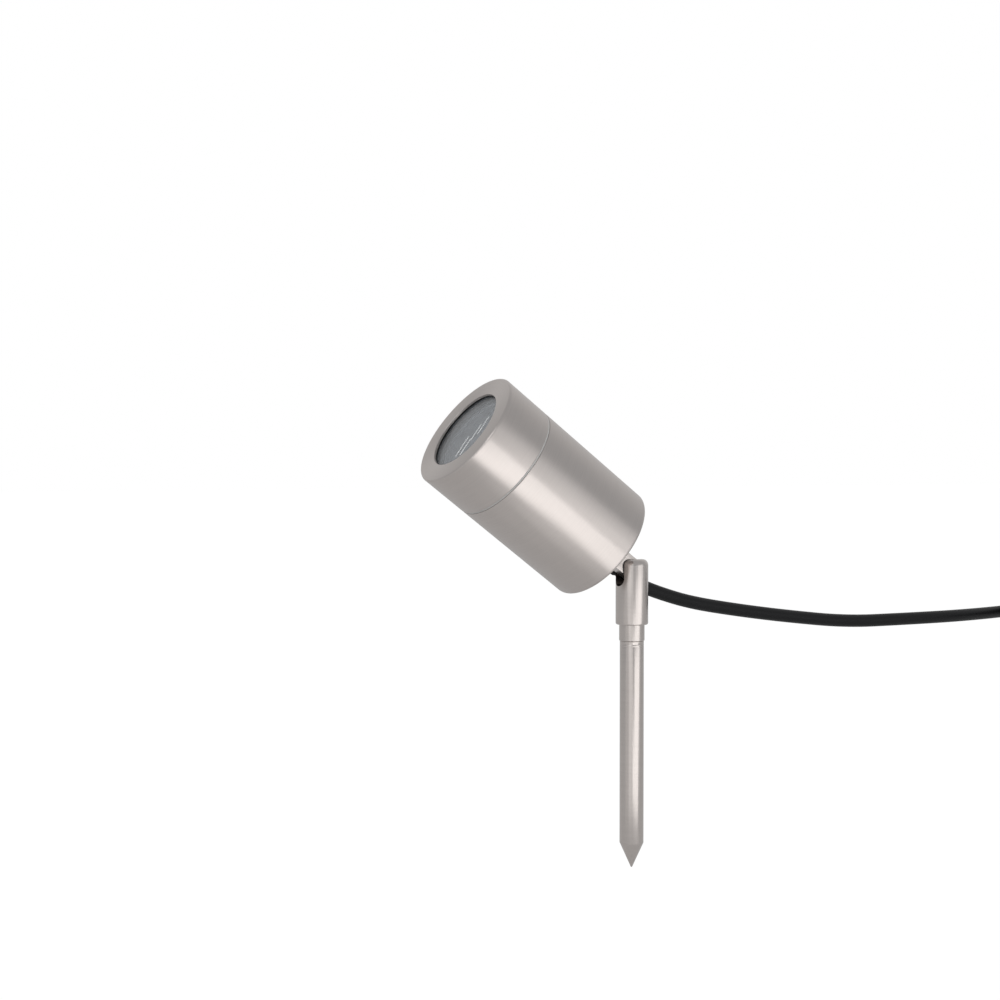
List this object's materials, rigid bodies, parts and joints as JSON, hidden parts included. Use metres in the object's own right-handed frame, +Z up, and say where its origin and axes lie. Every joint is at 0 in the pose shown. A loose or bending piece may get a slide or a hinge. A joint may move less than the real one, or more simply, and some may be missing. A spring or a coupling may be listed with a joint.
{
  "type": "garden spike spotlight",
  "caption": "Cylindrical brushed steel spotlight head with a screwed glazed bezel, tilting on a slotted post above a pointed ground spike, with a rubber cord to a tied coil",
  "frame": {"origin": "on the spike's axis, at the joint of post and spike, 2 mm above the soil that the cord lies on", "axes": "+Z up along the spike and post; the head's beam points to -Y and up by 36.5 degrees; the head tilts about X; the cord leaves towards +Y"},
  "size_m": [0.1007, 0.4612, 0.2386],
  "materials": {
    "brushed_steel": "lengthwise brushed stainless steel, fine grain, satin",
    "turned_steel": "turned stainless steel, fine circular grain, satin",
    "fastener_steel": "plain stainless screws and washers",
    "clear_glass": "clear toughened float glass, polished",
    "black_rubber": "matt black rubber seals",
    "pale_silicone": "pale translucent silicone ring",
    "black_nylon": "black nylon cable gland",
    "cord_rubber": "black rubber flex sheath, matt",
    "lamp_white": "white lamp body",
    "lamp_glass": "frosted lamp lens",
    "holder_ceramic": "unglazed steatite lamp holder",
    "brass": "plain brass contacts and pins",
    "zinc_sheet": "zinc plated bracket sheet",
    "terminal_plastic": "off-white terminal block",
    "wire_brown": "brown wire insulation",
    "wire_blue": "blue wire insulation",
    "wire_earth": "green and yellow wire insulation",
    "tinned_copper": "tinned copper sleeves"
  },
  "bodies": {
    "root": {"post": "turned_steel", "spike": "turned_steel", "stud": "fastener_steel", "pivot_screw": "fastener_steel", "pivot_washers": "black_nylon", "cord_lead": "cord_rubber", "cord_run": "cord_rubber", "cord_coil": "cord_rubber", "coil_tie": "black_nylon", "cord_tail": "cord_rubber", "core_brown": "wire_brown", "core_blue": "wire_blue", "core_earth": "wire_earth", "core_ferrules": "tinned_copper"},
    "head": {"housing": "brushed_steel", "lug": "brushed_steel", "lug_screws": "fastener_steel", "seam_ring": "pale_silicone", "gland_body": "black_nylon", "gland_nut": "black_nylon", "gland_seal": "black_rubber", "gland_cap": "black_nylon", "strain_relief": "black_rubber", "sheath_entry": "cord_rubber", "lamp_holder": "holder_ceramic", "holder_contacts": "brass", "holder_bracket": "zinc_sheet", "bracket_screws": "fastener_steel", "terminal_block": "terminal_plastic", "terminal_screws": "brass", "earth_tag": "tinned_copper", "earth_screw": "fastener_steel", "wire_brown": "wire_brown", "wire_blue": "wire_blue", "wire_earth": "wire_earth", "holder_leads": "terminal_plastic"},
    "lamp": {"lamp": "lamp_white", "lamp_lens": "lamp_glass", "lamp_pins": "brass"},
    "glass_pack": {"glass": "clear_glass", "front_gasket": "black_rubber", "rear_gasket": "black_rubber"},
    "bezel": {"bezel": "brushed_steel"}
  },
  "joints": [
    {"name": "tilt", "type": "hinge", "parent": "root", "child": "head", "pos_m": [0, 0, 0.0344], "axis": [-1, 0, 0], "range_deg": [-36.5, 53.5], "deforming": ["cord_lead"]},
    {"name": "bezel_turn", "type": "hinge", "parent": "glass_pack", "child": "bezel", "pos_m": [0, 0, 0.0344], "axis": [0, -0.8039, 0.5948], "range_deg": [0, 1800]},
    {"name": "glass_travel", "type": "slide", "parent": "head", "child": "glass_pack", "axis": [0, -0.8039, 0.5948], "range_m": [0, 0.0075]},
    {"name": "lamp_twist", "type": "hinge", "parent": "head", "child": "lamp", "pos_m": [0, 0, 0.0344], "axis": [0, -0.8039, 0.5948], "range_deg": [0, 45]}
  ],
  "couplings": [
    {"joint": "glass_travel", "follows": "bezel_turn", "m_per_rad": 0.00023873}
  ]
}
